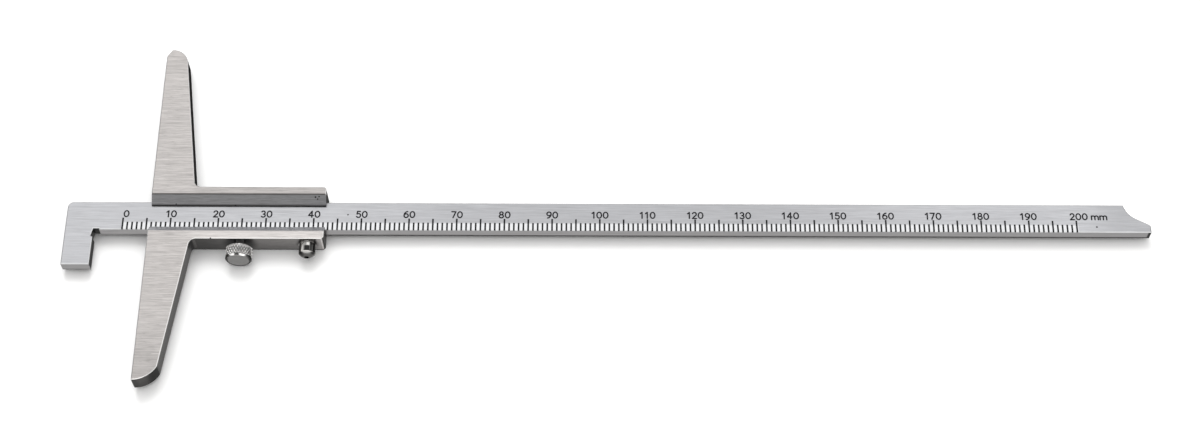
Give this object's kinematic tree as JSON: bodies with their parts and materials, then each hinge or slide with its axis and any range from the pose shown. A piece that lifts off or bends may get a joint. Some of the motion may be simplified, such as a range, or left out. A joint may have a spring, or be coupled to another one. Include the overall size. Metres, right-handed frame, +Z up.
{
  "type": "vernier depth gauge",
  "caption": "Vernier depth gauge with a hooked graduated beam, a two-armed slide and a knurled clamp screw.",
  "frame": {"origin": "centre of the slide's flat back, on the plane that the gauge rests on", "axes": "+X along the beam towards its tail, +Y towards the upper arm, +Z up through the scale"},
  "size_m": [0.2274, 0.0784, 0.0055],
  "materials": {
    "beam_steel": "satin, brushed lengthwise",
    "slide_steel": "ground and brushed",
    "spring_steel": "rolled spring steel",
    "screw_steel": "turned and knurled",
    "pad_brass": "turned brass",
    "polished_steel": "polished"
  },
  "bodies": {
    "slide": {"slide_body": "slide_steel", "leaf_spring": "spring_steel", "keeper_screw": "polished_steel", "keeper_washer": "polished_steel"},
    "beam": {"beam": "beam_steel"},
    "pad": {"clamp_pad": "pad_brass"},
    "clamp": {"clamp_screw": "screw_steel"}
  },
  "joints": [
    {"name": "beam_slide", "type": "slide", "parent": "slide", "child": "beam", "axis": [-1, 0, 0], "range_m": [-0.0118, 0.1823]},
    {"name": "pad_travel", "type": "slide", "parent": "slide", "child": "pad", "axis": [0, -1, 0], "range_m": [0, 0.00045]},
    {"name": "clamp_turn", "type": "hinge", "parent": "pad", "child": "clamp", "pos_m": [0.0007, -0.008, 0.00278], "axis": [0, -1, 0], "range_deg": [0, 360]}
  ],
  "couplings": [
    {"joint": "clamp_turn", "follows": "pad_travel", "rad_per_m": 13963}
  ]
}
